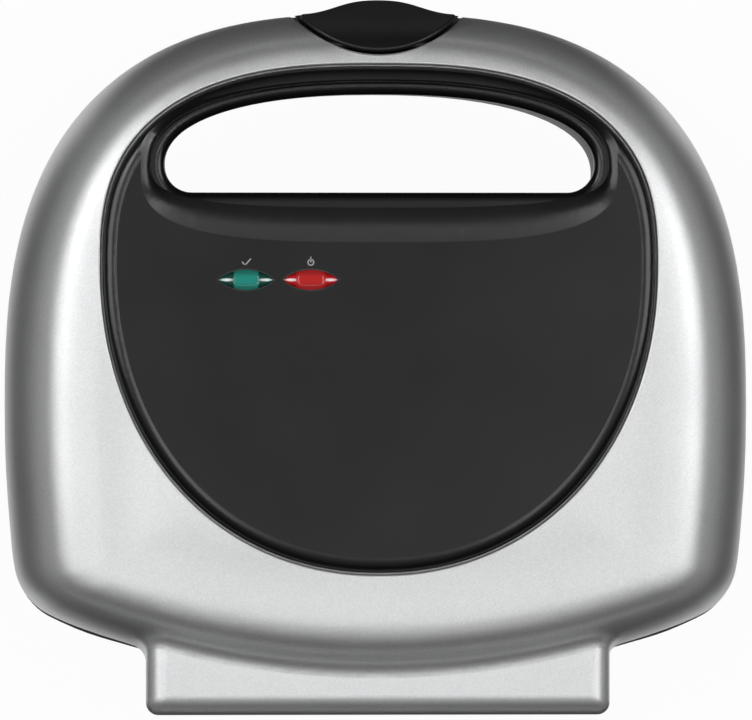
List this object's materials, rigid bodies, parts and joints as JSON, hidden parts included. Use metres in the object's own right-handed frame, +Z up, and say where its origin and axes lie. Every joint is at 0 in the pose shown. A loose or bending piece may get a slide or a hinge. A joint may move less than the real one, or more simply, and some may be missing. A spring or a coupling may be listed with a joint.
{
  "type": "sandwich maker",
  "caption": "Two-slice sandwich maker: black base and silver domed lid on a rear hinge, pocketed plates, front latch and a handle opening through both halves.",
  "frame": {"origin": "centre of the footprint of the closed appliance, on the surface that its feet stand on", "axes": "+Z up, -Y towards the latch and handle at the front, +Y towards the hinge, X along the hinge"},
  "size_m": [0.237, 0.2256, 0.0904],
  "materials": {
    "silver_paint": "moulded plastic with silver metallic paint",
    "black_gloss": "smooth black plastic",
    "black_matte": "fine grained black plastic",
    "nonstick": "cast aluminium with black non-stick coating",
    "steel": "plain steel",
    "element_steel": "heat-darkened steel tube",
    "bright_aluminium": "bright rolled sheet",
    "green_lens": "clear green plastic",
    "red_lens": "clear red plastic",
    "lamp_glass": "clear glass",
    "foot_rubber": "soft black rubber",
    "ceramic": "pale heat-proof moulding"
  },
  "bodies": {
    "base": {"base_housing": "black_matte", "base_frame": "black_matte", "lower_plate": "nonstick", "lower_element": "element_steel", "lower_reflector": "bright_aluminium", "thermostat": "steel", "thermostat_screws": "steel", "base_plate_screws": "steel", "terminal_block": "ceramic", "cord_gland": "black_matte", "hinge_pin_left": "steel", "hinge_pin_right": "steel", "foot_front_left": "foot_rubber", "foot_front_right": "foot_rubber", "foot_rear_left": "foot_rubber", "foot_rear_right": "foot_rubber"},
    "lid": {"lid_housing": "silver_paint", "lid_frame": "black_matte", "lid_panel": "black_gloss", "upper_plate": "nonstick", "upper_element": "element_steel", "upper_reflector": "bright_aluminium", "thermal_fuse": "steel", "fuse_clip": "steel", "fuse_clip_screws": "steel", "lid_plate_screws": "steel", "lamp_carrier": "ceramic", "ready_lamp": "lamp_glass", "power_lamp": "lamp_glass", "ready_lens": "green_lens", "power_lens": "red_lens", "latch_pin": "steel"},
    "latch": {"latch_clip": "black_gloss"}
  },
  "joints": [
    {"name": "lid_hinge", "type": "hinge", "parent": "base", "child": "lid", "pos_m": [0, 0.1024, 0.042], "axis": [-1, 0, 0], "range_deg": [0, 100]},
    {"name": "latch_pivot", "type": "hinge", "parent": "lid", "child": "latch", "pos_m": [0, -0.098, 0.08153], "axis": [-1, 0, 0], "range_deg": [0, 25]}
  ]
}
